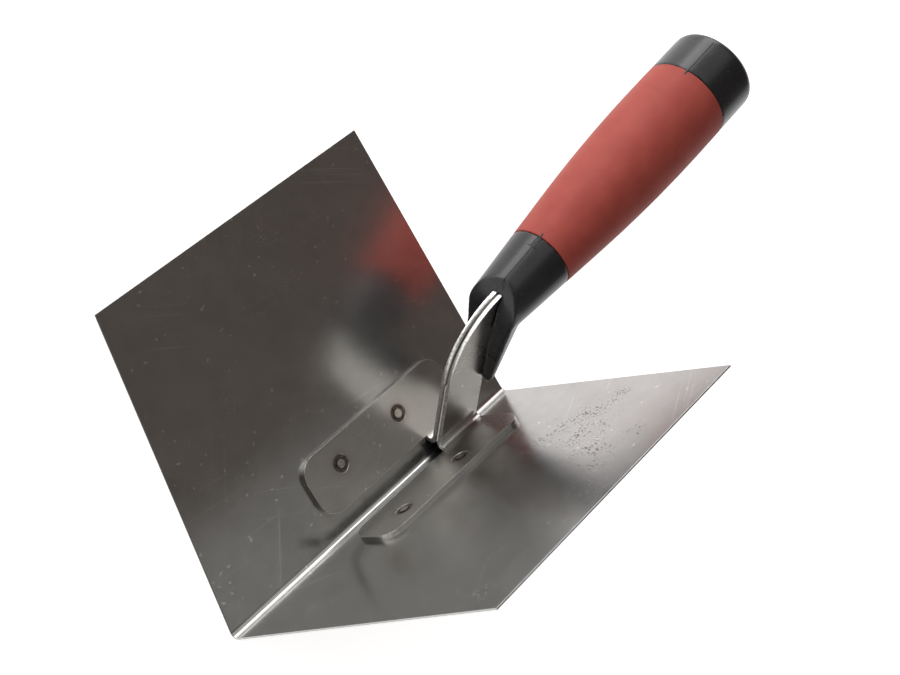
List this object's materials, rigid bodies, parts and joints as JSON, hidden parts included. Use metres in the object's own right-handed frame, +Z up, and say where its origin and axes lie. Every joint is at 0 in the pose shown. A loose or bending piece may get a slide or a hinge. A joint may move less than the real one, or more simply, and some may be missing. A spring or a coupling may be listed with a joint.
{
  "type": "inside corner trowel",
  "caption": "Hand trowel for plaster and joint compound in inside wall corners: bent V blade, two-plate mount and soft-grip handle.",
  "frame": {"origin": "under the middle of the whole tool's box, on the ground; the tool lies on its left wing, as it is laid down on a bench", "axes": "+X along the crease from its toe towards the handle's butt, +Y along the left wing from the crease to the wing's outer edge, +Z up from the left wing; the middle plane between the wings rises from the crease at 45.5 degrees"},
  "size_m": [0.227, 0.1004, 0.0986],
  "materials": {
    "blade_steel": "thin stainless sheet, nearly mirror smooth with fine scratches, light pitting and smudges",
    "mount_steel": "stamped and bent steel plate, dull polish, bright worn edges",
    "weld_metal": "fused steel with brown heat tint",
    "black_plastic": "hard black moulding, satin",
    "red_grip": "soft brick-red elastomer, matt"
  },
  "bodies": {
    "root": {"blade": "blade_steel", "mount_plate_left": "mount_steel", "mount_plate_right": "mount_steel", "foot_spot_welds": "weld_metal", "web_edge_weld": "weld_metal", "handle_core": "black_plastic", "grip_sleeve": "red_grip"}
  },
  "joints": []
}
